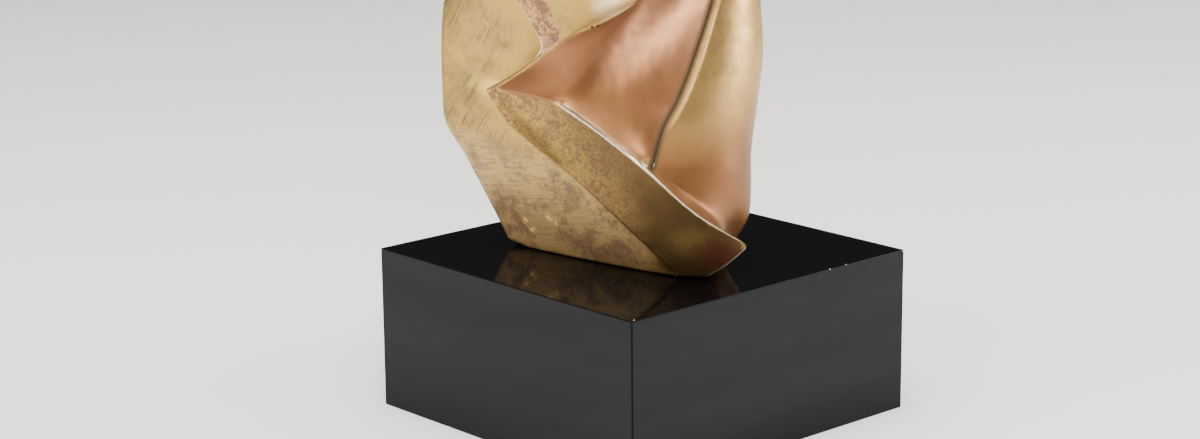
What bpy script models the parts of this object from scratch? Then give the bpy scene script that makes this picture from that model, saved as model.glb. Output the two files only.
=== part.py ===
"""A modernist bronze bust on a square black plinth.

Metres, +Z up. The figure faces -Y, and the origin is the middle of the plinth's underside.
The bust is one cast piece: a loft of closed rings, from its foot to its crown, that follows
a few named lines of the carving. Its lines are drawn in grid units, which are shares of the
bust's own height.
"""

import math
from typing import NamedTuple

import bpy
import numpy as np

# Plinth
PLINTH_SIDE = 0.305
PLINTH_HEIGHT = 0.1356
PLINTH_EDGE = 0.0006
PLINTH_EDGE_SEGMENTS = 2

# Bust
BUST_HEIGHT = 0.570
SEAT_GAP = 0.0003
SHARP_ANGLE = math.radians(28)

# The grid that the carving is drawn on: this many units are the bust's height.
GRID_HEIGHT = 570
UNIT = BUST_HEIGHT / GRID_HEIGHT

# The foot's flat seat is the lowest ring drawn in to this share of its width.
SEAT_SHARE = 0.95


class CarvedLine(NamedTuple):
    """A line of the torso: (station, x, y, z) knots in grid units, and where it turns sharply."""

    knots: list
    corners: tuple = ()


class Panel(NamedTuple):
    """The columns from one line to the next, and their bulge as a share of the panel's width."""

    line: str
    columns: int
    low_bulge: float
    high_bulge: float


# Stations climb the torso: 1 is the foot, 3 the cuff's low corner, 5 the end of the crease,
# 7 the elbow and 11 the shawl's opening.
LOW_CORNER = 3
CREASE_END = 5
ELBOW = 7
TORSO_TOP = 11
RINGS_AFTER = {1: 2, 2: 3, 3: 4, 4: 4, 5: 4, 6: 4, 7: 2, 8: 3, 9: 2, 10: 3}
LINES = {
    "front_edge": CarvedLine([
        (1, -86, -68, 0.8), (3, -97, -76, 28), (5, -113, -95, 79), (6.2, -121.5, -107.5, 108),
        (7, -122, -108, 133), (9, -122, -108, 174), (11, -120, -106, 206),
    ]),
    "undercut": CarvedLine([
        (1, 86, -41, 1.5), (3, 74, -55, 22), (5, 15, -82, 75), (6, -27, -94, 101), (7, -67, -99, 137),
        (8, -45, -89, 149), (9, -17, -87, 173), (10, -20, -98, 197), (11, -26, -105, 216),
    ], (ELBOW,)),
    "cuff_edge": CarvedLine([
        (1, 86, -43.5, 2), (2, 85, -53, 12.5), (3, 77.5, -62, 24), (4, 56, -78.5, 49), (5, 28, -97, 79),
        (6, -6.5, -116, 107.5), (6.6, -30, -123, 125.5), (7, -45.5, -125, 145), (8, -27.5, -108, 159),
        (9, -9.5, -97, 178.5), (10, -15.5, -103.5, 199), (11, -23, -110.5, 217),
    ], (ELBOW,)),
    "strip_edge": CarvedLine([
        (7, -41, -124, 145.5), (8, -24, -107, 160.5), (9, 5, -91.5, 186.5), (10, 5.5, -95, 200),
        (11, 1.5, -101.5, 219),
    ]),
    "collar": CarvedLine([
        (7, -37, -123, 145.5), (8, -20, -106, 161), (9, 8.5, -90.5, 187.5), (10, 33.5, -75, 200),
        (11, 59, -51, 219.5),
    ]),
    "ridge": CarvedLine([
        (1, 105, -27.5, 1.2), (2, 126.5, -27, 14.5), (3, 149.5, -24, 34.5), (4, 120, -54, 59.5),
        (5, 90, -78, 93), (6, 58.5, -96.5, 119.5), (7, 23, -110.5, 141), (8, 32.5, -101, 156.5),
        (9, 46.5, -80, 182.5), (10, 55.5, -63.5, 199.5), (11, 64, -48.5, 218),
    ], (LOW_CORNER, ELBOW)),
    "crease": CarvedLine([
        (5, 90.2, -73.5, 92.7), (6, 93.5, -63.5, 124.5), (7, 95, -50, 144), (8, 95.5, -39, 162.5),
        (9, 94.5, -29.5, 179), (10, 94, -20, 196.5), (11, 93, -9, 218.5),
    ]),
    "arm_lip": CarvedLine([
        (5, 90.25, -72.5, 92.6), (6, 98.5, -62, 125), (7, 101, -49, 144.5), (9, 101, -28, 179.5), (11, 99, -8, 219),
    ]),
    "arm_edge": CarvedLine([
        (1, 76, 11, 1.5), (2, 89, 13, 14), (3, 104, 20, 38), (4, 101, 26, 60), (5, 95, 31, 85),
        (7, 90, 44, 131), (9, 85, 55.5, 170), (11, 79, 57.5, 209),
    ]),
    "back_left": CarvedLine([(1, 12, 60, 1.5), (3, 16, 74, 40), (6, 16, 88, 105), (11, 6, 93, 208)]),
    "back_middle": CarvedLine([(1, -58, 60, 1.5), (3, -66, 70, 40), (6, -79, 84, 105), (11, -90, 78, 208)]),
    "back_right": CarvedLine([(1, -96, 2, 1.5), (3, -108, -2, 40), (6, -131, -10, 105), (11, -141, -14, 208)]),
}
PANELS = [
    Panel("front_edge", 8, 0.02, 0.02),
    Panel("undercut", 2, 0.0, 0.0),
    Panel("cuff_edge", 3, 0.0, 0.0),
    Panel("strip_edge", 6, 0.14, 0.14),
    Panel("collar", 3, -0.02, -0.02),
    Panel("ridge", 5, -0.02, -0.06),
    Panel("crease", 1, 0.0, 0.0),
    Panel("arm_lip", 6, 0.16, 0.17),
    Panel("arm_edge", 4, 0.08, 0.12),
    Panel("back_left", 5, 0.12, 0.12),
    Panel("back_middle", 5, 0.12, 0.12),
    Panel("back_right", 4, 0.1, 0.1),
]
COLUMNS = sum(panel.columns for panel in PANELS)
FACE_MIDDLE = "cuff_edge"

# The panels' bulges change from low to high between these stations, and this power makes them
# rise steeply at their edges.
BULGE_LOW, BULGE_HIGH = 5, 9
BULGE_POWER = 0.7


class Band(NamedTuple):
    """A stretch that is one panel below a station, where lines above it end in a pinch.

    Its bulge goes from low, at the cuff's low corner, to high at that station.
    """

    first: str
    pinched: str
    last: str
    below: float
    low_bulge: float
    high_bulge: float


BANDS = [
    Band("cuff_edge", "collar", "ridge", ELBOW, 0.0, 0.0),
    Band("ridge", "arm_lip", "arm_edge", CREASE_END, 0.08, 0.16),
]
# A pinch takes this share of its band, and its columns spread evenly over this many stations.
PINCH = 0.05
PINCH_STATIONS = 2

# Lines that hold their place only above a station, panels that hold it below one, and how often
# the surface between them is eased towards a stretched skin.
HELD_FROM = {"strip_edge": ELBOW, "collar": ELBOW, "crease": CREASE_END, "arm_lip": CREASE_END}
HELD_TO = {"front_edge": TORSO_TOP, "undercut": TORSO_TOP, "cuff_edge": 9, "strip_edge": 9}
EASE_ROUNDS = 120

# Shoulders: curves that leave the torso upwards and reach the neck from below, each pulled on
# for this much height and leaning at most this far for each unit of height.
SHOULDER_RISE = 40
NECK_DROP = 30
LEAN_LIMIT = 0.45
SHOULDER_RINGS = 10

# Neck and head: (front forward, front z, back forward, back z, half width) about the head's axis,
# with the rings from each row to the next.
HEAD_AXIS = (-17, -8)
HEAD_PROFILE = [
    (54, 294, -58, 316, 60), (44, 315, -50, 336, 49), (40, 340, -47, 360, 45), (42, 362, -53, 382, 46),
    (60, 370, -63, 397, 50), (78, 375, -71, 411, 54), (85, 386, -77, 425, 58), (85, 407, -82, 442, 62),
    (86, 430, -84, 457, 65), (88, 452, -85, 472, 67), (88, 473, -85, 487, 68), (89, 495, -83, 504, 68),
    (86, 516, -77, 521, 65), (77, 535, -66, 539, 58), (60, 551, -50, 553, 46), (37, 562.5, -29, 563.5, 30),
    (13, 569, -8, 569.3, 11),
]
HEAD_RINGS = (2, 2, 2, 2, 3, 3, 3, 3, 3, 3, 3, 3, 3, 3, 2, 2)
FACE_DENSITY = 0.45
SECTION_POWER = 0.88
FACE_FADE = 0.5

# Face, on the proportions of a plain mannequin. Mounds and hollows are (side, z, half width,
# half height, depth), the same on both sides of the middle.
NOSE_ROOT_Z = 485
NOSE_TIP_Z = 443
NOSE_BASE_Z = 434
NOSE_OUT = 18
NOSE_HALF_WIDTH = (8, 17)
MOUNDS = {
    "brow": (27, 497, 26, 11, 2.5),
    "eye_socket": (28, 477, 19, 13, -6),
    "cheek": (42, 450, 18, 16, 2),
    "lips": (0, 415, 21, 10, 4),
    "chin": (0, 388, 22, 13, 2.5),
}

# Hair: a cap that stands out this far. Its edge runs over the forehead at one row of the profile
# and down the sides at one angle, in degrees from the middle of the face. It fades in at the nape.
HAIR_OUT = 4
HAIR_ROW = 13
HAIR_ROW_STEP = 0.5
HAIR_ANGLE = 74
HAIR_ANGLE_STEP = 10
NAPE_ROWS = (2, 5)


def smooth_line(knots, stations):
    """Points of a smooth cubic curve through the knots (station, x, y, z) at the stations."""
    knots = np.array(knots, float)
    at, points = knots[:, 0], knots[:, 1:]
    slopes = np.gradient(points, at, axis=0)
    found = np.clip(np.searchsorted(at, stations, side="right") - 1, 0, len(at) - 2)
    span = (at[found + 1] - at[found])[:, None]
    share = (stations - at[found])[:, None] / span
    square, cube = share**2, share**3
    return (
        (2 * cube - 3 * square + 1) * points[found]
        + (cube - 2 * square + share) * span * slopes[found]
        + (3 * square - 2 * cube) * points[found + 1]
        + (cube - square) * span * slopes[found + 1]
    )


def carved_points(line, stations):
    """The line's points at the stations, smooth but for its corners. Stations below its start stay zero."""
    cuts = [line.knots[0][0], *line.corners, line.knots[-1][0]]
    points = np.zeros((len(stations), 3))
    for low, high in zip(cuts, cuts[1:]):
        run = [knot for knot in line.knots if low <= knot[0] <= high]
        inside = (stations >= low) & (stations <= high)
        points[inside] = smooth_line(run, stations[inside])
    return points


def torso_stations():
    """The rings' stations, from the foot to the torso's top."""
    steps = [start + ring / rings for start, rings in RINGS_AFTER.items() for ring in range(rings)]
    return np.array([*steps, TORSO_TOP], float)


def columns_between(first, last):
    """The number of columns from one line to another."""
    names = [panel.line for panel in PANELS]
    return sum(panel.columns for panel in PANELS[names.index(first):names.index(last)])


def arched_points(start, end, shares, bulge, flat=0):
    """Points between two lines at the shares, rings first, arched out by the bulge past a flat share."""
    chord = (end - start)[:, None]
    outward = np.stack([chord[..., 1], -chord[..., 0], np.zeros_like(chord[..., 0])], axis=-1)
    past_flat = np.clip((shares - flat) / (1 - flat), 0, 1)
    arch = np.sin(np.pi * past_flat) ** BULGE_POWER * bulge
    return start[:, None] + chord * shares[..., None] + outward * arch[..., None]


def band_points(band, lines, stations, arched):
    """A band's points below its station: pinched there, and evenly spread lower down."""
    columns = columns_between(band.first, band.last)
    even = np.arange(columns) / columns
    pinched = np.interp(even, [0, columns_between(band.first, band.pinched) / columns, 1], [0, PINCH, 1])
    spread = np.clip((band.below - stations) / PINCH_STATIONS, 0, 1)[:, None]
    shares = pinched * (1 - spread) + even * spread
    bulge = np.interp(stations, [LOW_CORNER, band.below], [band.low_bulge, band.high_bulge])[:, None]
    return arched_points(lines[band.first], lines[band.last], shares, bulge * arched, PINCH * (1 - spread))


def ruled_rings(stations, arched):
    """The torso's rings with straight panels, or with their bulges where arched is 1."""
    lines = {name: carved_points(line, stations) for name, line in LINES.items()}
    climb = np.clip((stations - BULGE_LOW) / (BULGE_HIGH - BULGE_LOW), 0, 1)[:, None]
    points = []
    for panel, after in zip(PANELS, [*PANELS[1:], PANELS[0]]):
        shares = np.arange(panel.columns)[None] / panel.columns
        bulge = panel.low_bulge + (panel.high_bulge - panel.low_bulge) * climb
        points.append(arched_points(lines[panel.line], lines[after.line], shares, bulge * arched))
    rings = np.concatenate(points, axis=1)
    for band in BANDS:
        first, last = (columns_between(PANELS[0].line, name) for name in (band.first, band.last))
        below = stations < band.below
        rings[below, first:last] = band_points(band, lines, stations, arched)[below]
    return rings


def held_points(stations):
    """Which points keep their place: the end rings, the lines, some panels and the cuff's top edge."""
    held = np.zeros((len(stations), COLUMNS), bool)
    held[[0, -1]] = True
    for panel in PANELS:
        column = columns_between(PANELS[0].line, panel.line)
        held[:, column] |= stations >= HELD_FROM.get(panel.line, 0)
        kept = (stations >= HELD_FROM.get(panel.line, 0)) & (stations <= HELD_TO.get(panel.line, 0))
        held[kept, column:column + panel.columns] = True
    first, last = (columns_between(PANELS[0].line, name) for name in ("cuff_edge", "ridge"))
    held[stations == ELBOW, first:last] = True
    return held


def share_between(before, point, after):
    """Where a point lies between its neighbours, as a share of the way from the first to the second."""
    first = np.linalg.norm(point - before, axis=-1, keepdims=True)
    return first / (first + np.linalg.norm(after - point, axis=-1, keepdims=True))


def eased(rings, held):
    """The rings with each free point drawn again and again between its neighbours, at its first share."""
    across = share_between(np.roll(rings, 1, 1), rings, np.roll(rings, -1, 1))
    along = share_between(rings[:-2], rings[1:-1], rings[2:])
    for _ in range(EASE_ROUNDS):
        before, after = np.roll(rings, 1, 1), np.roll(rings, -1, 1)
        drawn = before + (after - before) * across
        drawn[1:-1] = (drawn[1:-1] + rings[:-2] + (rings[2:] - rings[:-2]) * along) / 2
        rings = np.where(held[..., None], rings, drawn)
    return rings


def torso_rings():
    """The torso's rings as an array of rings, columns and coordinates."""
    stations = torso_stations()
    straight = ruled_rings(stations, 0)
    return eased(straight, held_points(stations)) + ruled_rings(stations, 1) - straight


def seat_ring(foot):
    """The edge of the flat seat, inside the lowest ring and at the grid's zero."""
    middle = foot.mean(axis=0)
    seat = middle + (foot - middle) * SEAT_SHARE
    seat[:, 2] = 0
    return seat


def head_angles():
    """Each column's angle from the middle of the face, with more columns in the face."""
    middle = columns_between(PANELS[0].line, FACE_MIDDLE)
    turns = (np.arange(COLUMNS) - middle) / COLUMNS
    turns -= np.round(turns)
    return 2 * np.pi * turns - FACE_DENSITY * np.sin(2 * np.pi * turns)


def rounded(value):
    """A sine or cosine, made a little blunter for a boxier section."""
    return np.sign(value) * np.abs(value) ** SECTION_POWER


def mound(side, height, shape):
    """A soft mound or hollow either side of the middle."""
    at, level, wide, tall, depth = shape
    return depth * np.exp(-(((np.abs(side) - at) / wide) ** 2) - ((height - level) / tall) ** 2)


def nose(side, height):
    """A wedge from the root of the nose to its tip, undercut to its base."""
    down = np.clip((NOSE_ROOT_Z - height) / (NOSE_ROOT_Z - NOSE_TIP_Z), 0, 1)
    under = np.clip((height - NOSE_BASE_Z) / (NOSE_TIP_Z - NOSE_BASE_Z), 0, 1)
    half = NOSE_HALF_WIDTH[0] + (NOSE_HALF_WIDTH[1] - NOSE_HALF_WIDTH[0]) * down
    return NOSE_OUT * np.minimum(down, under) * np.clip(1 - np.abs(side) / half, 0, 1)


def face_relief(side, height):
    """How far the face stands out of the plain head."""
    return nose(side, height) + sum(mound(side, height, shape) for shape in MOUNDS.values())


def hair_relief(angle, row):
    """How far the hair stands out of the plain head."""
    beside = np.clip((np.degrees(np.abs(angle)) - HAIR_ANGLE) / HAIR_ANGLE_STEP, 0, 1)
    above = np.clip((row - HAIR_ROW) / HAIR_ROW_STEP, 0, 1)
    return HAIR_OUT * np.maximum(beside, above) * np.interp(row, NAPE_ROWS, (0, 1))


def head_rings():
    """The neck's and head's rings, from the neck's base to the crown."""
    steps = [row + ring / rings for row, rings in enumerate(HEAD_RINGS) for ring in range(rings)]
    steps = np.array([*steps, len(HEAD_RINGS)], float)
    profile = smooth_line([(row, *sizes) for row, sizes in enumerate(HEAD_PROFILE)], steps)
    front, front_z, back, back_z, half = profile.T[:, :, None]
    angles = head_angles()
    ahead = rounded(np.cos(angles))
    toward_front = (ahead + 1) / 2
    side = half * rounded(np.sin(angles))
    forward = back + (front - back) * toward_front
    height = back_z + (front_z - back_z) * toward_front
    face = face_relief(side, height) * np.clip(ahead / FACE_FADE, 0, 1)
    hair = hair_relief(angles, steps[:, None])
    across = HEAD_AXIS[0] + side + hair * np.sin(angles)
    deep = HEAD_AXIS[1] - forward - face - hair * np.cos(angles)
    return np.stack([across, deep, height], axis=-1)


def pulled(ring, neighbour, rise):
    """The ring carried on, away from its neighbour, until it has gained the rise on average."""
    step = ring - neighbour
    lean = np.linalg.norm(step[:, :2], axis=1)
    step[:, :2] *= np.minimum(1, LEAN_LIMIT * np.abs(step[:, 2]) / np.maximum(lean, 1e-9))[:, None]
    return ring + step * (rise / np.abs(step[:, 2]).mean())


def shoulder_rings(torso, head):
    """Rings over the shoulders, between the torso's top ring and the neck's base."""
    posts = [torso[-1], pulled(torso[-1], torso[-2], SHOULDER_RISE), pulled(head[0], head[1], NECK_DROP), head[0]]
    share = (np.arange(1, SHOULDER_RINGS) / SHOULDER_RINGS)[:, None, None]
    rest = 1 - share
    weights = (rest**3, 3 * rest**2 * share, 3 * rest * share**2, share**3)
    return sum(weight * post for weight, post in zip(weights, posts))


def loft(name, rings):
    """One closed mesh through the rings, with a flat end below and above."""
    count, columns = rings.shape[:2]
    index = np.arange(count * columns).reshape(count, columns)
    sides = np.stack([index[:-1], np.roll(index, -1, 1)[:-1], np.roll(index, -1, 1)[1:], index[1:]], axis=-1)
    faces = [index[0][::-1].tolist(), index[-1].tolist(), *sides.reshape(-1, 4).tolist()]
    mesh = bpy.data.meshes.new(name)
    mesh.from_pydata((rings.reshape(-1, 3) * UNIT).tolist(), [], faces)
    return mesh


def material(name, colour, roughness, metallic):
    """A Principled material."""
    made = bpy.data.materials.new(name)
    made.use_nodes = True
    shader = made.node_tree.nodes["Principled BSDF"]
    shader.inputs["Base Color"].default_value = (*colour, 1)
    shader.inputs["Roughness"].default_value = roughness
    shader.inputs["Metallic"].default_value = metallic
    return made


def make_plinth(parts):
    """The square black plinth, a block with fine rounded edges, standing on the ground."""
    bpy.ops.mesh.primitive_cube_add(size=1, location=(0, 0, PLINTH_HEIGHT / 2))
    plinth = bpy.context.object
    plinth.name = "plinth"
    plinth.scale = (PLINTH_SIDE, PLINTH_SIDE, PLINTH_HEIGHT)
    bpy.ops.object.transform_apply(location=False, rotation=False, scale=True)
    edges = plinth.modifiers.new("fine_edges", "BEVEL")
    edges.width = PLINTH_EDGE
    edges.segments = PLINTH_EDGE_SEGMENTS
    plinth.data.materials.append(material("black_lacquer", (0.012, 0.012, 0.013), 0.14, 0.0))
    move_to(plinth, parts)
    return plinth


def make_bust(parts):
    """The bronze bust, resting on the plinth's top."""
    torso = torso_rings()
    head = head_rings()
    shoulders = shoulder_rings(torso, head)
    rings = np.concatenate([seat_ring(torso[0])[None], torso, shoulders, head])
    mesh = loft("bronze_bust", rings)
    mesh.materials.append(material("polished_bronze", (0.42, 0.26, 0.12), 0.34, 1.0))
    mesh.shade_smooth()
    mesh.set_sharp_from_angle(angle=SHARP_ANGLE)
    bust = bpy.data.objects.new("bronze_bust", mesh)
    bust.location = (0, 0, PLINTH_HEIGHT + SEAT_GAP)
    parts.objects.link(bust)
    return bust


def move_to(item, parts):
    """Puts the object in the parts' collection alone."""
    for collection in item.users_collection:
        collection.objects.unlink(item)
    parts.objects.link(item)


def main():
    """Clears the scene and makes the bust on its plinth."""
    for item in list(bpy.data.objects):
        bpy.data.objects.remove(item)
    parts = bpy.data.collections.new("modernist_bust")
    bpy.context.scene.collection.children.link(parts)
    make_plinth(parts)
    make_bust(parts)


main()
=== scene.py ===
"""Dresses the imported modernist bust: polished cast bronze on a square black lacquered plinth."""

import logging
import math
from dataclasses import dataclass
from enum import Enum
from typing import Any, Callable

import bmesh
import bpy
import numpy as np
from mathutils import Matrix, Vector
from mathutils.kdtree import KDTree


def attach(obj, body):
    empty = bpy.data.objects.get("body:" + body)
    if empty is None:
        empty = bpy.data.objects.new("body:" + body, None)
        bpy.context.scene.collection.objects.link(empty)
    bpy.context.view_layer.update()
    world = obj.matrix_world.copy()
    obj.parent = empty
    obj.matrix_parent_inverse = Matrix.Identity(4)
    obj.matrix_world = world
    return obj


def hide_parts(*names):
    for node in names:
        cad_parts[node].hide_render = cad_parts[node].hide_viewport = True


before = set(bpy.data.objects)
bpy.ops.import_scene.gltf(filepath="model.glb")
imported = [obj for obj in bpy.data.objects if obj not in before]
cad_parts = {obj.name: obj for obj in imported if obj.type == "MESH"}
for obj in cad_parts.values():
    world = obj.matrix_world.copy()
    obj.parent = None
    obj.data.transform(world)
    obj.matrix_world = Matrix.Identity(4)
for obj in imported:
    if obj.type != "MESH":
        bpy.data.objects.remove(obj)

LOG = logging.getLogger("modernist_bust")
Colour = tuple[float, float, float]
Point = tuple[float, float, float]
Spot = tuple[Point, float, float, float]
Socket = bpy.types.NodeSocket


class Facet(Enum):
    """The bust's own surfaces that have a tone of their own, and a point on each."""

    SLEEVE = (0.060, -0.080, 0.278)
    CUFF = (0.059, -0.088, 0.222)
    BORDER = (-0.004, -0.098, 0.336)
    SHAWL = (0.020, -0.088, 0.336)


class Mask:
    """A number that varies over a surface. Arithmetic on it adds Math nodes to its material."""

    def __init__(self, recipe: "Recipe", socket: Socket) -> None:
        """Wraps a socket.

        Args:
            recipe: The material that the socket belongs to.
            socket: The output that gives the number.
        """
        self.recipe = recipe
        self.socket = socket

    def _sum(self, operation: str, *values: "Mask | float") -> "Mask":
        """Adds one Math node with its inputs in order, and gives its result."""
        return self.recipe.number("ShaderNodeMath", {"operation": operation}, dict(enumerate(values)))

    def __add__(self, other: "Mask | float") -> "Mask":
        """Adds the other."""
        return self._sum("ADD", self, other)

    __radd__ = __add__

    def __sub__(self, other: "Mask | float") -> "Mask":
        """Takes the other away."""
        return self._sum("SUBTRACT", self, other)

    def __rsub__(self, other: float) -> "Mask":
        """Takes this away from a number."""
        return self._sum("SUBTRACT", other, self)

    def __mul__(self, other: "Mask | float") -> "Mask":
        """Multiplies by the other."""
        return self._sum("MULTIPLY", self, other)

    __rmul__ = __mul__

    def distance(self) -> "Mask":
        """Its size without its sign."""
        return self._sum("ABSOLUTE", self)

    def most(self, other: "Mask | float") -> "Mask":
        """The larger of the two."""
        return self._sum("MAXIMUM", self, other)

    def between(self, low: float, high: float) -> "Mask":
        """Rises smoothly from 0 at low to 1 at high, or falls where low is above high.

        Args:
            low: The value that gives 0.
            high: The value that gives 1.

        Returns:
            A mask from 0 to 1.
        """
        ends = {"From Min": min(low, high), "From Max": max(low, high)}
        ends.update({"To Min": float(low > high), "To Max": float(low < high)})
        settings = {"interpolation_type": "SMOOTHSTEP"}
        return self.recipe.number("ShaderNodeMapRange", settings, {"Value": self, **ends})


class Recipe:
    """A material under construction. All its nodes come from its node method."""

    def __init__(self, name: str) -> None:
        """Starts a material with one Principled shader.

        Args:
            name: The material's name.
        """
        self.material = bpy.data.materials.new(name)
        self.material.use_nodes = True
        self.tree = self.material.node_tree
        self.shader = self.tree.nodes["Principled BSDF"]
        self.place = self.node("ShaderNodeTexCoord").outputs["Object"]

    def node(self, kind: str, settings: dict[str, Any] | None = None, inputs: dict | None = None) -> bpy.types.Node:
        """Adds a node.

        Args:
            kind: Blender's type name.
            settings: The node's own settings, set before its sockets.
            inputs: Values, sockets or masks by the input's name or number.

        Returns:
            The node.
        """
        made = self.tree.nodes.new(kind)
        for key, value in (settings or {}).items():
            setattr(made, key, value)
        for key, value in (inputs or {}).items():
            self.feed(made.inputs[key], value)
        return made

    def feed(self, target: Socket, value: Any) -> None:
        """Links a mask or socket to an input, or sets its value.

        Args:
            target: The input.
            value: A mask, a socket, a number, a colour or a vector.
        """
        if isinstance(value, Mask):
            value = value.socket
        if isinstance(value, Socket):
            self.tree.links.new(value, target)
        elif target.type == "RGBA":
            target.default_value = (*value[:3], 1.0)
        else:
            target.default_value = value

    def number(self, kind: str, settings: dict[str, Any] | None = None, inputs: dict | None = None) -> Mask:
        """Adds a node, as the node method does, and wraps its first output as a mask."""
        return Mask(self, self.node(kind, settings, inputs).outputs[0])

    def attribute(self, name: str) -> Mask:
        """A number stored on the mesh by name, as a mask."""
        return Mask(self, self.node("ShaderNodeAttribute", {"attribute_name": name}).outputs["Fac"])

    def axes(self, vector: Socket) -> tuple[Mask, Mask, Mask]:
        """A vector's x, y and z."""
        split = self.node("ShaderNodeSeparateXYZ", inputs={0: vector})
        return tuple(Mask(self, split.outputs[axis]) for axis in range(3))

    def turned(self, angles: Point, stretch: Point = (1.0, 1.0, 1.0)) -> Socket:
        """The object's coordinates, turned and stretched for a pattern with a grain.

        Args:
            angles: Turns about x, y and z in degrees.
            stretch: The scale along each axis after the turn.

        Returns:
            The new coordinates.
        """
        inputs = {"Vector": self.place, "Rotation": tuple(map(math.radians, angles))}
        turn = self.node("ShaderNodeMapping", {"vector_type": "POINT"}, inputs).outputs[0]
        return self.node("ShaderNodeMapping", {"vector_type": "POINT"}, {"Vector": turn, "Scale": stretch}).outputs[0]

    def clouds(self, scale: float, detail: float = 4.0, rough: float = 0.55, at: Any = None) -> Mask:
        """Soft fractal noise.

        Args:
            scale: Its spots for each metre.
            detail: How many finer layers it has.
            rough: How strong the finer layers are.
            at: Coordinates other than the object's own.

        Returns:
            The noise as a mask about 0.5.
        """
        where = self.place if at is None else at
        inputs = {"Vector": where, "Scale": scale, "Detail": detail, "Roughness": rough}
        return self.number("ShaderNodeTexNoise", {"noise_dimensions": "3D"}, inputs)

    def spot(self, centre: Point, inner: float, outer: float, wobble: float = 0.0) -> Mask:
        """A soft round mark.

        Args:
            centre: Its middle.
            inner: The radius that it fills, in metres.
            outer: The radius where it has faded out.
            wobble: How far its edge wanders, in metres.

        Returns:
            A mask from 0 to 1.
        """
        gap = self.node("ShaderNodeVectorMath", {"operation": "DISTANCE"}, {0: self.place, 1: centre})
        away = Mask(self, gap.outputs["Value"])
        if wobble:
            away = away + (self.clouds(45.0, 4.0, 0.65) - 0.5) * (4 * wobble)
        return away.between(outer, inner)

    def spots(self, centres: tuple[Point, ...], inner: float, outer: float) -> Mask:
        """Small round marks.

        Args:
            centres: Where they are.
            inner: The radius that each fills.
            outer: The radius where each has faded out.

        Returns:
            One mask for them all.
        """
        found = self.spot(centres[0], inner, outer)
        for centre in centres[1:]:
            found = found.most(self.spot(centre, inner, outer))
        return found

    def mixed(self, share: Mask | float, under: Any, over: Any) -> Socket:
        """Lays one colour over another.

        Args:
            share: How much of the upper colour shows.
            under: The lower colour.
            over: The upper colour.

        Returns:
            The colour.
        """
        settings = {"data_type": "RGBA", "blend_type": "MIX", "clamp_factor": True}
        mix = self.node("ShaderNodeMix", settings, {0: share, 6: under, 7: over})
        return mix.outputs[2]

    def bumped(self, height: Mask, depth: float, base: Any = None) -> Socket:
        """A bump for the shader's normal.

        Args:
            height: The relief, from 0 to 1.
            depth: What 1 stands for, in metres.
            base: A normal to add it to.

        Returns:
            The bumped normal.
        """
        inputs = {"Height": height, "Distance": depth, "Strength": 1.0}
        if base is not None:
            inputs["Normal"] = base
        return self.node("ShaderNodeBump", inputs=inputs).outputs[0]


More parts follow.
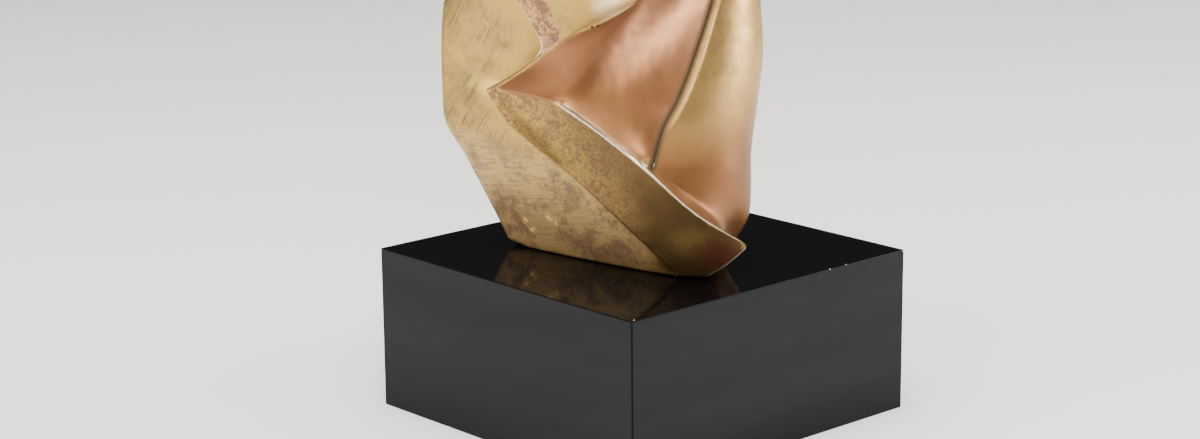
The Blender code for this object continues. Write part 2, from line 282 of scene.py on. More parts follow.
class BronzeCoat(Recipe):
    """The bronze under construction: the masks that its layers share, and the colour so far."""

    def __init__(self, look: "PolishedBronze") -> None:
        """Makes the shared masks and the ground colour.

        Args:
            look: The finish.
        """
        super().__init__("polished_bronze")
        self.look = look
        self.wide, self.soft = self.clouds(7.0, 3.0), self.clouds(22.0, 4.0, 0.6)
        self.mottle, self.fine = self.clouds(75.0, 6.0, 0.72), self.clouds(330.0, 4.0, 0.65)
        self.across, self.deep, self.height = self.axes(self.place)
        sleeve, cuff, border, shawl = (self.attribute(facet.name.lower()) for facet in Facet)
        fade = self.height.between(*look.facet_fade)
        self.sleeve, self.cuff, self.shawl = sleeve.between(0.30, 0.70) * fade, cuff.between(0.30, 0.70), shawl * fade
        self.border = (border + (self.mottle - 0.5) * 0.6).between(0.30, 0.70) * fade
        self.plain = 1 - self.sleeve.most(self.cuff)
        front = self.deep.between(-0.02, -0.06) * self.across.between(0.085, 0.06) * self.height.between(0.40, 0.36)
        self.panel = self.plain * front
        self.cuff_right = (self.across + (self.wide - 0.5) * 0.05).between(-0.040, 0.064)
        self.colour = self.mixed((self.wide + (self.soft - 0.5) * 0.6).between(0.42, 0.62), look.gold, look.straw)

    def lay(self, *layers: tuple[Mask, Colour]) -> None:
        """Lays more colours over the colour so far, in turn."""
        for share, over in layers:
            self.colour = self.mixed(share, self.colour, over)

    def toned(self) -> tuple[Mask, Mask]:
        """Gives each facet its own tone of bronze, with painted light among the tones: painted shade beyond the
        sleeve's fold, on the arm's low part and on the cuff's right side, and a painted highlight on the sleeve's top.

        Returns:
            The sleeve's painted shade beyond the fold, and the arm's low part with its painted shade.
        """
        look, across, height = self.look, self.across, self.height
        # Painted shade: the arm turns orange-brown towards its low part.
        low_arm_shade = (height + (self.wide - 0.5) * 0.05).between(0.310, 0.215) * across.between(0.075, 0.095)
        arm = across.between(0.088, 0.100) * self.plain * height.between(0.42, 0.34)
        over, back, lift, at = look.fold
        beside = across * over + self.deep * back + height * lift
        # Painted shade: beyond the fold the sleeve is a darker brown copper, and a little rougher.
        fold_shaded = beside.between(at + 0.003, at - 0.004) * self.sleeve
        # Painted highlight: the sleeve turns paler copper towards its top, except beyond the fold.
        painted_top_sheen = height.between(0.285, 0.345) * self.sleeve * (1 - fold_shaded)
        self.lay(
            (arm * 0.45, look.tan),
            (low_arm_shade * self.plain, look.orange),
            (self.sleeve * (0.85 + (self.soft - 0.5) * 0.3), look.copper),
            (fold_shaded * 0.80, look.fold_shade_copper),
            (painted_top_sheen * 0.55, look.top_sheen_copper),
            (self.border * (0.55 + self.soft * 0.5), look.rose),
            # Painted shade: the cuff darkens towards its right end.
            (self.cuff * (0.06 + self.cuff_right * 0.88), look.cuff_shade_olive),
        )
        return fold_shaded, low_arm_shade

    def stained(self) -> Mask:
        """Lays the brown net, the dark flecked stains and speckle.

        Returns:
            The net on the cuff and the strip.
        """
        look, cuff, mottle, fine, soft = self.look, self.cuff, self.mottle, self.fine, self.soft
        net = (mottle + (fine - 0.5) * 0.75 + (soft - 0.5) * 0.4 + cuff * 0.03).between(0.43, 0.60)
        netted = net * (cuff * (1 - self.cuff_right * 0.72) * 0.82 + self.border * 0.80)
        middle = cuff * self.cuff_right * self.across.between(0.100, 0.045)
        flecked = (fine * 0.85 + mottle * 0.45).between(0.59, 0.75) * middle
        browned = (mottle + (self.wide - 0.5) * 0.9).between(0.50, 0.72) * (1 - self.sleeve * 0.75)
        speckle = (fine + (soft - 0.5) * 0.7).between(0.56, 0.70)
        self.lay(
            (cuff * (1 - self.cuff_right) * 0.20, look.umber),
            (netted, look.umber),
            (flecked * 0.50, look.dark_fleck),
            (browned * 0.34, look.umber),
            (speckle * (0.20 - self.sleeve * 0.10), look.umber),
        )
        return netted

    def brushed(self) -> tuple[Mask, Mask]:
        """Lays the front panel's brush marks, smears, its darkening towards the bottom, and blots.

        Returns:
            The brush marks, and the panel's low part.
        """
        look, height, wide, soft = self.look, self.height, self.wide, self.soft
        steep = self.clouds(1.0, 5.0, 0.68, self.turned((0, 54, 0), (26.0, 26.0, 520.0)))
        level = self.clouds(1.0, 5.0, 0.68, self.turned((0, 9, 0), (30.0, 30.0, 560.0)))
        cross = self.clouds(1.0, 3.0, 0.6, self.turned((0, -62, 0), (16.0, 16.0, 460.0)))
        upper = steep.between(0.51, 0.62) * (soft + wide * 0.6).between(0.76, 0.90) * height.between(0.20, 0.235)
        lower = level.between(0.50, 0.61) * height.between(0.262, 0.225) * (soft + wide * 0.4).between(0.78, 0.62)
        crossed = cross.between(0.57, 0.66) * soft.between(0.48, 0.60) * height.between(0.20, 0.24)
        scored = (upper * 0.72).most(lower).most(crossed * 0.45) * self.panel * (1 - self.shawl.most(self.border))
        low_panel = (height + (wide - 0.5) * 0.03).between(0.25, 0.205) * self.panel
        # Darker brown towards the bottom of the panel.
        darker_low = (height + (soft - 0.5) * 0.05).between(0.205, 0.150) * self.panel
        blots = (soft * 0.62 + self.mottle * 0.52 + self.fine * 0.24).between(0.62, 0.80) * low_panel
        drift = (wide * 0.5 + soft * 0.5).between(0.50, 0.62) * self.panel
        self.lay(
            (scored * 0.80, look.umber),
            (low_panel * 0.45, look.smeared),
            (darker_low * 0.52, look.low_brown),
            (self.shawl * 0.14, look.umber),
            (blots * 0.80, look.blot),
            (drift * 0.16, look.umber),
        )
        return scored, low_panel

    def aged(self) -> tuple[Mask, Mask, Mask]:
        """Lays the patches, a painted highlight on the bulge, the dark of the head's recesses, painted shade along the
        crease lines, and the pits.

        Returns:
            The painted highlight on the bulge, the painted shade of the crease lines with the head's recesses, and the
            pits.
        """
        look = self.look
        # Painted highlight: a soft pale gold spot on the bulge below the collar, which is also a little less rough.
        painted_bulge_highlight = self.spot(*look.bulge_highlight) * (1 - self.sleeve)
        shade = self.attribute("shade")
        # How far each point is from the lines with painted shade, in each line's own dark width.
        gap = self.attribute("dark_reach")
        pit = self.spots(look.pits, 0.0007, 0.0013)
        self.lay(
            (self.spot(*look.cuff_rub) * self.cuff * 0.45, look.straw),
            (self.spot(*look.red_patch) * self.cuff * 0.9, look.rust),
            (self.spot(*look.strip_foot) * self.border * 0.6, look.plum),
            (painted_bulge_highlight * 0.70, look.highlight_gold),
            (shade * 0.86, look.umber),
            # Painted shade along the crease, the undercut and the cuff's lines, darkest in a narrow core.
            (gap.between(1.0, 0.30) * 0.80, look.crease_shade),
            (gap.between(0.36, 0.10) * 0.90, look.crease_shadow_core),
            (pit, look.pit_black),
        )
        return painted_bulge_highlight, gap.between(1.0, 0.25).most(shade), pit

    def worn(self) -> tuple[Mask, Mask, Mask]:
        """Makes the crisp lines bright, partly wear from rubbing and partly a painted highlight, and lays painted
        golden glints.

        Returns:
            The burnish with painted sheen beside the lines, the ridge's brightest stretch, and the lines' painted
            highlight with wear.
        """
        look, across, fine = self.look, self.across, self.fine
        thin = across.between(0.03, 0.015) * self.height.between(0.295, 0.285)
        near = self.attribute("bright_reach") * (1 + thin * 0.45)
        # Burnish with painted sheen: a band of paler copper beside the lines on the sleeve.
        burnish_and_sheen = near.between(3.2, 1.0) * self.sleeve
        hot = across.between(0.016, 0.024) * across.between(0.105, 0.085)
        # Painted highlight with wear from rubbing: the crisp lines turn pale, brightest along the ridge's hot stretch.
        rub = near.between(1.0, 0.3) * (0.42 + hot * 0.33 + (fine - 0.3) * 0.9).most(0.0)
        # Painted glints where the crease's lip meets the ridge.
        rub = rub.most(self.spot(*look.join_glints) * fine.between(0.45, 0.60))
        # Painted glints: small bright golden marks on the front panel and at the undercut's foot.
        painted_glints = self.spots(look.glints, 0.0015, 0.0060) * fine.between(0.44, 0.54)
        self.lay((burnish_and_sheen * 0.30, look.sheen_copper), (rub, look.rubbed_highlight), (painted_glints * 0.85, look.bright_gold))
        return burnish_and_sheen, hot, rub


@dataclass(frozen=True)
class PolishedBronze:
    """Rubbed bronze: golden panels, a copper sleeve, brown stains, bright edges of wear with painted highlight, and
    some painted highlights and shade among its tones.
    """

    gold: Colour = (0.55, 0.345, 0.080)
    straw: Colour = (0.49, 0.325, 0.090)
    copper: Colour = (0.225, 0.079, 0.038)
    fold_shade_copper: Colour = (0.185, 0.076, 0.032)
    top_sheen_copper: Colour = (0.50, 0.225, 0.125)
    # Paler copper of the burnish with painted sheen.
    sheen_copper: Colour = (0.80, 0.50, 0.32)
    orange: Colour = (0.195, 0.080, 0.025)
    tan: Colour = (0.52, 0.285, 0.115)
    rose: Colour = (0.56, 0.29, 0.14)
    cuff_shade_olive: Colour = (0.15, 0.090, 0.034)
    umber: Colour = (0.15, 0.07, 0.035)
    rust: Colour = (0.17, 0.045, 0.028)
    plum: Colour = (0.26, 0.095, 0.10)
    smeared: Colour = (0.64, 0.44, 0.17)
    low_brown: Colour = (0.24, 0.135, 0.080)
    blot: Colour = (0.155, 0.080, 0.050)
    dark_fleck: Colour = (0.052, 0.024, 0.012)
    # Colours of the painted shade along the crease lines and its core.
    crease_shade: Colour = (0.070, 0.042, 0.020)
    crease_shadow_core: Colour = (0.034, 0.022, 0.010)
    pit_black: Colour = (0.01, 0.008, 0.006)
    bright_gold: Colour = (1.0, 0.62, 0.20)
    highlight_gold: Colour = (1.0, 0.80, 0.46)
    # Pale colour of the lines' wear with painted highlight.
    rubbed_highlight: Colour = (1.0, 0.86, 0.66)
    facet_fade: tuple[float, float] = (0.385, 0.354)
    fold: tuple[float, float, float, float] = (0.7113, 0.2976, -0.6370, -0.1970)
    cuff_rub: Spot = ((0.113, -0.055, 0.166), 0.008, 0.026, 0.004)
    red_patch: Spot = ((0.128, -0.046, 0.150), 0.016, 0.030, 0.006)
    strip_foot: Spot = ((-0.0014, -0.0953, 0.3165), 0.003, 0.011, 0.003)
    # Where the painted highlight on the bulge sits, and its size.
    bulge_highlight: Spot = ((0.0454, -0.0738, 0.3533), 0.001, 0.021, 0.002)
    # Painted glints where the crease's lip meets the ridge.
    join_glints: Spot = ((0.0866, -0.0779, 0.2340), 0.0008, 0.0040, 0.002)
    pits: tuple[Point, ...] = ((0.0290, -0.0780, 0.3338), (0.0330, -0.0753, 0.3347))
    # Painted glints on the front panel and at the undercut's foot.
    glints: tuple[Point, ...] = (
        (-0.0300, -0.0740, 0.1700), (-0.0250, -0.0745, 0.1655), (-0.0546, -0.0713, 0.1559), (-0.0590, -0.0725, 0.1615),
        (0.0840, -0.0430, 0.1390),
    )

    def made(self) -> bpy.types.Material:
        """The material.

        Returns:
            A material that reads the bust's facet, edge and shade attributes.
        """
        coat = BronzeCoat(self)
        fold_shaded, low_arm_shade = coat.toned()
        netted = coat.stained()
        scored, low_panel = coat.brushed()
        painted_bulge_highlight, hollow, pit = coat.aged()
        burnish_and_sheen, hot, rub = coat.worn()

        matt = low_panel.most(low_arm_shade * 0.3).most(netted * 0.6).most(scored * 0.5)
        rough = 0.36 + (coat.mottle - 0.5) * 0.10 + coat.plain * 0.04 + matt * 0.14 + hollow * 0.15
        rough = rough - rub * 0.16 - burnish_and_sheen * 0.06 + fold_shaded * 0.08 - painted_bulge_highlight * 0.08
        # Less metal on the painted highlight lines lets their pale colour show whatever the light.
        metal = 0.94 - matt * 0.66 - rub * (0.25 + hot * 0.3) * (1 - matt) - hollow * 0.12
        dents = coat.bumped(coat.clouds(30.0, 2.0), 0.0009)
        cuts = coat.bumped(1 - scored.most(pit), 0.00012, dents)
        sockets = {"Base Color": coat.colour, "Metallic": metal, "Roughness": rough}
        for name, value in {**sockets, "Normal": coat.bumped(coat.fine, 0.00004, cuts)}.items():
            coat.feed(coat.shader.inputs[name], value)
        return coat.material


@dataclass(frozen=True)
class BlackLacquer:
    """High gloss black lacquer with faint rubbing marks, dust, dark edges and a few tiny chips."""

    black: Colour = (0.0018, 0.0018, 0.0022)
    side: Colour = (0.0107, 0.0109, 0.0118)
    rub: Colour = (0.0147, 0.0149, 0.0157)
    chalk: Colour = (0.75, 0.74, 0.72)
    side_half: float = 0.1525
    top: float = 0.1356
    line: float = 0.0008
    chip: tuple[float, float] = (0.0004, 0.0007)
    corner_chip: Spot = ((0.1499, -0.1477, 0.1356), 0.0004, 0.0008, 0.0)
    chips: tuple[Point, ...] = ((0.1520, 0.0643, 0.1356), (0.1516, 0.0835, 0.1356), (0.1525, 0.1514, 0.1345))

    def made(self) -> bpy.types.Material:
        """The material.

        Returns:
            A gloss black material whose sides are a little greyer, a painted sheen, with dark lines at the edges.
        """
        mix = Recipe("black_lacquer")
        across, deep, height = mix.axes(mix.place)
        facing = mix.node("ShaderNodeNewGeometry").outputs["Normal"]
        upright = mix.axes(facing)[2].between(0.9, 0.5)
        streaks = mix.clouds(1.0, 4.0, 0.5, mix.turned((0, 3, 0), (3.0, 3.0, 26.0)))
        # Painted sheen: the sides are a greyer black than the black top, with faint rubbing streaks.
        colour = mix.mixed(streaks.between(0.35, 0.75), self.side, self.rub)
        far = self.side_half - self.line * 1.5
        corner = across.distance().between(far - 0.0003, far) * deep.distance().between(far - 0.0003, far)
        brim = height.between(self.top - self.line * 1.8, self.top - self.line)
        # Darker towards the bottom of the sides.
        colour = mix.mixed(height.between(0.05, 0.0) * 0.5, colour, self.black)
        colour = mix.mixed(corner.most(brim).most(1 - upright), colour, self.black)
        chipped = mix.spot(*self.corner_chip).most(mix.spots(self.chips, *self.chip))
        colour = mix.mixed(chipped, colour, self.chalk)
        mix.feed(mix.shader.inputs["Base Color"], colour)
        dust = mix.clouds(320.0, 3.0, 0.7).between(0.66, 0.8)
        mix.feed(mix.shader.inputs["Roughness"], 0.035 + dust * 0.07 + upright * 0.30 + chipped * 0.5)
        mix.shader.inputs["IOR"].default_value = 1.16
        mix.feed(mix.shader.inputs["Normal"], mix.bumped(mix.clouds(9.0, 2.0), 0.0002))
        return mix.material


@dataclass(frozen=True)
class PaleFloor:
    """A plain pale studio floor."""

    tone: Colour = (0.96, 0.96, 0.95)

    def made(self) -> bpy.types.Material:
        """The material.

        Returns:
            A matt pale material with a slight mottle.
        """
        mix = Recipe("pale_floor")
        paler = tuple(part * 1.04 for part in self.tone)
        mix.feed(mix.shader.inputs["Base Color"], mix.mixed(mix.clouds(3.0, 3.0), self.tone, paler))
        mix.shader.inputs["Roughness"].default_value = 0.7
        return mix.material


def only(piece: bpy.types.Object) -> None:
    """Selects one object alone and makes it active.

    Args:
        piece: The object.
    """
    bpy.ops.object.select_all(action="DESELECT")
    piece.select_set(True)
    bpy.context.view_layer.objects.active = piece


def picked(piece: bpy.types.Object, wanted: Callable[[bmesh.types.BMEdge], bool]) -> int:
    """Selects the wanted edges in edit mode.

    Args:
        piece: The object, which is left in edit mode with edges selected.
        wanted: Says of an edge whether it is wanted.

    Returns:
        How many edges were selected.
    """
    bpy.ops.object.mode_set(mode="EDIT")
    bpy.ops.mesh.select_mode(type="EDGE")
    bpy.ops.mesh.select_all(action="DESELECT")
    mesh = bmesh.from_edit_mesh(piece.data)
    found = 0
    for edge in mesh.edges:
        if wanted(edge):
            edge.select = True
            found += 1
    bmesh.update_edit_mesh(piece.data)
    return found


@dataclass(frozen=True)
class CarvedLine:
    """A crisp line of the carving: knots in millimetres from the plinth's top, and the widths of its wear and painted
    light.

    A bright width of zero means that the line has no wear from rubbing and no painted highlight, and a dark width of
    zero that it has no painted shade. A line that isn't held is softened.
    """

    knots: tuple[tuple[float, float, float, float], ...]
    corner: float = 0.0
    bright: float = 0.0
    dark: float = 0.0
    held: bool = True
    fine_steps: int = 40
    foot: float = 0.1359

    def path(self) -> np.ndarray:
        """The line as close points.

        Returns:
            Points in metres, one a row.
        """
        knots = np.array(self.knots)
        ends = sorted({knots[0, 0], self.corner, knots[-1, 0]} - {0.0})
        pieces = [self.curved(knots[(knots[:, 0] >= low) & (knots[:, 0] <= high)]) for low, high in zip(ends, ends[1:])]
        return np.concatenate(pieces) / 1000 + (0, 0, self.foot)

    def curved(self, knots: np.ndarray) -> np.ndarray:
        """A smooth cubic through some knots.

        Args:
            knots: A station and a point a row.

        Returns:
            Close points along the curve, in millimetres.
        """
        at, points = knots[:, 0], knots[:, 1:]
        where = np.linspace(at[0], at[-1], int((at[-1] - at[0]) * self.fine_steps) + 1)
        slopes = np.gradient(points, at, axis=0)
        found = np.clip(np.searchsorted(at, where, side="right") - 1, 0, len(at) - 2)
        span = (at[found + 1] - at[found])[:, None]
        share = (where - at[found])[:, None] / span
        square, cube = share**2, share**3
        start, end = points[found], points[found + 1]
        swing = (cube - 2 * square + share) * slopes[found] + (cube - square) * slopes[found + 1]
        return start + (3 * square - 2 * cube) * (end - start) + span * swing


# A line's bright width is its wear from rubbing with painted highlight; its dark width is painted shade.
CARVED = {
    "front_edge": CarvedLine((
        (1, -86, -68, 0.8), (3, -97, -76, 28), (5, -113, -95, 79), (6.2, -121.5, -107.5, 108),
        (7, -122, -108, 133), (9, -122, -108, 174), (11, -120, -106, 206),
    ), bright=1.3),
    "undercut": CarvedLine((
        (1, 86, -41, 1.5), (3, 74, -55, 22), (5, 15, -82, 75), (6, -27, -94, 101), (7, -67, -99, 137),
        (8, -45, -89, 149), (9, -17, -87, 173), (10, -20, -98, 197), (11, -26, -105, 216),
    ), corner=7, dark=1.6),
    "cuff_edge": CarvedLine((
        (1, 86, -43.5, 2), (2, 85, -53, 12.5), (3, 77.5, -62, 24), (4, 56, -78.5, 49), (5, 28, -97, 79),
        (6, -6.5, -116, 107.5), (6.6, -30, -123, 125.5), (7, -45.5, -125, 145),
    ), dark=0.9),
    "border_edge": CarvedLine((
        (7, -45.5, -125, 145), (8, -27.5, -108, 159), (9, -9.5, -97, 178.5), (10, -15.5, -103.5, 199),
        (11, -23, -110.5, 217),
    ), bright=1.1),
    "strip_edge": CarvedLine((
        (7, -41, -124, 145.5), (8, -24, -107, 160.5), (9, 5, -91.5, 186.5), (10, 5.5, -95, 200),
        (11, 1.5, -101.5, 219),
    )),
    "collar": CarvedLine((
        (7, -37, -123, 145.5), (8, -20, -106, 161), (9, 8.5, -90.5, 187.5), (10, 33.5, -75, 200),
        (11, 59, -51, 219.5),
    ), held=False),
    "ridge": CarvedLine((
        (1, 105, -27.5, 1.2), (2, 126.5, -27, 14.5), (3, 149.5, -24, 34.5), (4, 120, -54, 59.5),
        (5, 90, -78, 93), (6, 58.5, -96.5, 119.5), (7, 23, -110.5, 141),
    ), corner=3, bright=1.8),
    "cuff_start": CarvedLine((
        (7, -45.5, -125, 145), (7.1, -41, -124, 145.5), (7.2, -37, -123, 145.5), (7.5, -17.2, -117.8, 144),
        (7.8, 2.8, -113.6, 142.5), (8, 23, -110.5, 141),
    ), dark=0.9),
    "crease_foot": CarvedLine(((5, 90, -78, 93), (6, 90.2, -73.5, 92.7))),
    "crease": CarvedLine((
        (5, 90.2, -73.5, 92.7), (6, 93.5, -63.5, 124.5), (7, 95, -50, 144), (8, 95.5, -39, 162.5),
        (9, 94.5, -29.5, 179), (10, 94, -20, 196.5), (11, 93, -9, 218.5),
    ), dark=5.5),
    "arm_lip": CarvedLine((
        (5, 90.25, -72.5, 92.6), (6, 98.5, -62, 125), (7, 101, -49, 144.5), (9, 101, -28, 179.5), (11, 99, -8, 219),
    ), bright=0.5),
}


def places(mesh: bpy.types.Mesh) -> np.ndarray:
    """A mesh's points in metres, one a row."""
    return np.array([vert.co for vert in mesh.vertices])


def reach(points: np.ndarray, path: np.ndarray) -> np.ndarray:
    """How far each point is from a line.

    Args:
        points: The points, one a row.
        path: Close points along the line.

    Returns:
        The distances in metres.
    """
    tree = KDTree(len(path))
    for index, place in enumerate(path):
        tree.insert(place, index)
    tree.balance()
    return np.array([tree.find(point)[2] for point in points])


def relaxed(
    points: np.ndarray, edges: np.ndarray, share: np.ndarray, rounds: int, pulls: tuple[float, ...] = (0.5, -0.515)
) -> np.ndarray:
    """Takes short ripples out of a surface. A pull and a push together keep its broad shape.

    Args:
        points: The surface's points, one a row.
        edges: Pairs of neighbouring points.
        share: How far each point may follow, from 0 to 1.
        rounds: How often.
        pulls: How far a point goes towards its neighbours' middle, in turn.

    Returns:
        The new points.
    """
    ends, others = np.concatenate([edges, edges[:, ::-1]]).T
    count = np.maximum(np.bincount(ends, minlength=len(points)), 1)
    for pull in pulls * rounds:
        sums = [np.bincount(ends, points[others, axis], len(points)) for axis in range(points.shape[1])]
        middle = np.stack([total / count for total in sums], 1)
        points = points + (pull * share)[:, None] * (middle - points)
    return points


def swell(value: np.ndarray, middle: Any, width: Any) -> np.ndarray:
    """A smooth hump that peaks with height 1 at the middle."""
    return np.exp(-(((value - middle) / width) ** 2))


def ramp(value: np.ndarray, low: float, high: float) -> np.ndarray:
    """Rises smoothly from 0 at low to 1 at high, or falls where low is above high."""
    share = np.clip((value - low) / (high - low), 0, 1)
    return share * share * (3 - 2 * share)


@dataclass(frozen=True)
class HeadCarving:
    """The fine forms of a calm, closed-eyed head: lids, brows, nose, lips and combed hair.

    Sizes are in millimetres. Height is measured from the plinth's top, and side from the middle of the face.
    """

    axis: tuple[float, float] = (-17.0, -8.0)
    foot: float = 135.9
    start: float = 345.0
    eye: tuple[float, float] = (29.0, 472.0)
    eye_half: tuple[float, float] = (15.5, 8.5)
    brow: float = 492.0
    mouth: float = 414.5
    nose_tip: float = 442.0
    nape: float = 366.0
    hair_top: float = 541.0
    hair_turn: float = 79.0
    hair_out: float = 2.4
    whorl: tuple[float, float] = (0.62, 0.78)
    centre: float = 452.0
    locks: int = 11
    lock_depth: float = 2.7

    def carved(self, points: np.ndarray) -> tuple[np.ndarray, np.ndarray]:
        """Carves the head.

        Args:
            points: The bust's points in metres, one a row.

        Returns:
            The new points, and how dark each is shaded by its recess.
        """
        place = points * 1000
        side = place[:, 0] - self.axis[0]
        ahead = self.axis[1] - place[:, 1]
        height = place[:, 2] - self.foot
        inside = ramp(height, self.start - 5, self.start + 15)
        relief, face_shade = self.face(side, height)
        facing = ramp(ahead, 15, 40) * inside
        lift, hair_shade = self.hair(side, ahead, height)
        aim = np.stack([side, -ahead, height - self.centre], axis=1)
        aim /= np.linalg.norm(aim, axis=1, keepdims=True)
        moved = place + aim * (lift * inside)[:, None]
        moved[:, 1] -= relief * facing
        return moved / 1000, np.maximum(face_shade * facing, hair_shade * inside)

    def face(self, side: np.ndarray, height: np.ndarray) -> tuple[np.ndarray, np.ndarray]:
        """The relief of the face.

        Args:
            side: Each point's distance from the middle of the face, with its sign.
            height: Each point's height.

        Returns:
            How far each point moves forward, and its shade.
        """
        out = np.abs(side)
        across = out - self.eye[0]
        up = height - self.eye[1] - 0.05 * across
        ball = np.sqrt(np.clip(1 - (across / self.eye_half[0]) ** 2 - (up / self.eye_half[1]) ** 2, 0, 1))
        lash_at = -4.2 + 3.2 * (across / self.eye_half[0]) ** 2
        lid = ramp(np.abs(across), self.eye_half[0] + 2, self.eye_half[0] - 4)
        lash = swell(up, lash_at, 1.1) * lid
        fold = swell(up, 7.5 - 4.5 * (across / 17) ** 2, 1.4) * ramp(np.abs(across), 18, 12)
        relief = ball * 3.6 + ramp(up, lash_at - 0.6, lash_at + 0.6) * ball * 1.2 - lash * 1.4 - fold * 0.9

        arc = self.brow + 3.5 * (1 - ((out - 26) / 24) ** 2)
        brow = np.where(height > arc, swell(height, arc, 11), swell(height, arc, 3.2))
        relief += brow * 2.6 * ramp(out, 9, 24) * ramp(out, 58, 44)

        wing = np.sqrt(np.clip(1 - ((out - 11.5) / 6) ** 2 - ((height - 439) / 6) ** 2, 0, 1))
        relief += wing * 3.4 + 2.2 * swell(out, 0, 6.5) * swell(height, self.nose_tip, 7)
        nostril = swell(out, 6.5, 2.4) * swell(height, 434.2, 1.8)
        relief -= nostril * 2.0

        top = self.mouth + 6.6 + 1.3 * np.cos(np.pi * side / 6.5) * (out < 6.5) - 1.3 * (out >= 6.5) - 0.008 * out**2
        low = self.mouth - 9.4 + 0.016 * out**2
        parting = self.mouth - 0.9 * swell(out, 0, 4) + 0.7 * swell(out, 7, 5) - 0.003 * out**2
        upper = np.clip((height - parting) / np.maximum(top - parting, 0.5), 0, 1)
        lower = np.clip((parting - height) / np.maximum(parting - low, 0.5), 0, 1)
        narrow = np.clip(1 - (out / 23.5) ** 2, 0, 1)
        relief += (np.sin(np.pi * upper) ** 0.7 * 2.6 + np.sin(np.pi * lower) ** 0.7 * 3.4) * narrow
        shut = swell(height, parting, 1.0) * ramp(out, 25, 21)
        relief -= shut * 1.6
        relief -= 1.0 * swell(out, 0, 2.4) * ramp(height, 421, 424) * ramp(height, 434, 430)
        relief -= 1.8 * swell(height, 399, 4.5) * swell(out, 0, 15)
        shade = np.maximum.reduce([lash * 0.8, fold * 0.35, nostril * 0.9, shut * 0.85])
        return relief, shade

    def hair(self, side: np.ndarray, ahead: np.ndarray, height: np.ndarray) -> tuple[np.ndarray, np.ndarray]:
        """The combed hair, whose locks run out from the whorl behind the crown.

        Args:
            side: Each point's distance from the middle of the face, with its sign.
            ahead: Each point's distance in front of the head's axis.
            height: Each point's height.

        Returns:
            How far each point moves out, and its shade.
        """
        turn = np.degrees(np.abs(np.arctan2(side, ahead)))
        rise = np.clip(height - 400, 0, None) / (self.hair_top - 400)
        edge = ((turn / self.hair_turn) ** 4 + rise**4) ** 0.25
        below = self.nape + 24 * ramp(turn, 150, 85)
        cover = ramp(edge, 0.985, 1.015) * ramp(height, below - 1.5, below + 1.5)
        back, up = self.whorl
        first = side
        second = -up * -ahead + back * (height - self.centre)
        along = back * -ahead + up * (height - self.centre)
        turned = np.arctan2(second, first)
        spread = np.arctan2(np.hypot(first, second), along)
        wave = turned + 0.09 * np.sin(3 * turned + 1.1) + 0.05 * np.sin(7 * turned) + 0.16 * np.sin(2.6 * spread)
        valley = 1 - np.abs(np.sin(self.locks * wave))
        fade = ramp(spread, 0.10, 0.38) * cover
        lift = cover * self.hair_out - fade * self.lock_depth * valley**1.7
        lift = np.minimum(lift, np.clip(568.6 - height, 0, None))
        rim = cover * (1 - cover) * 4
        return lift, np.maximum(fade * 0.5 * valley**3, rim * 0.5)


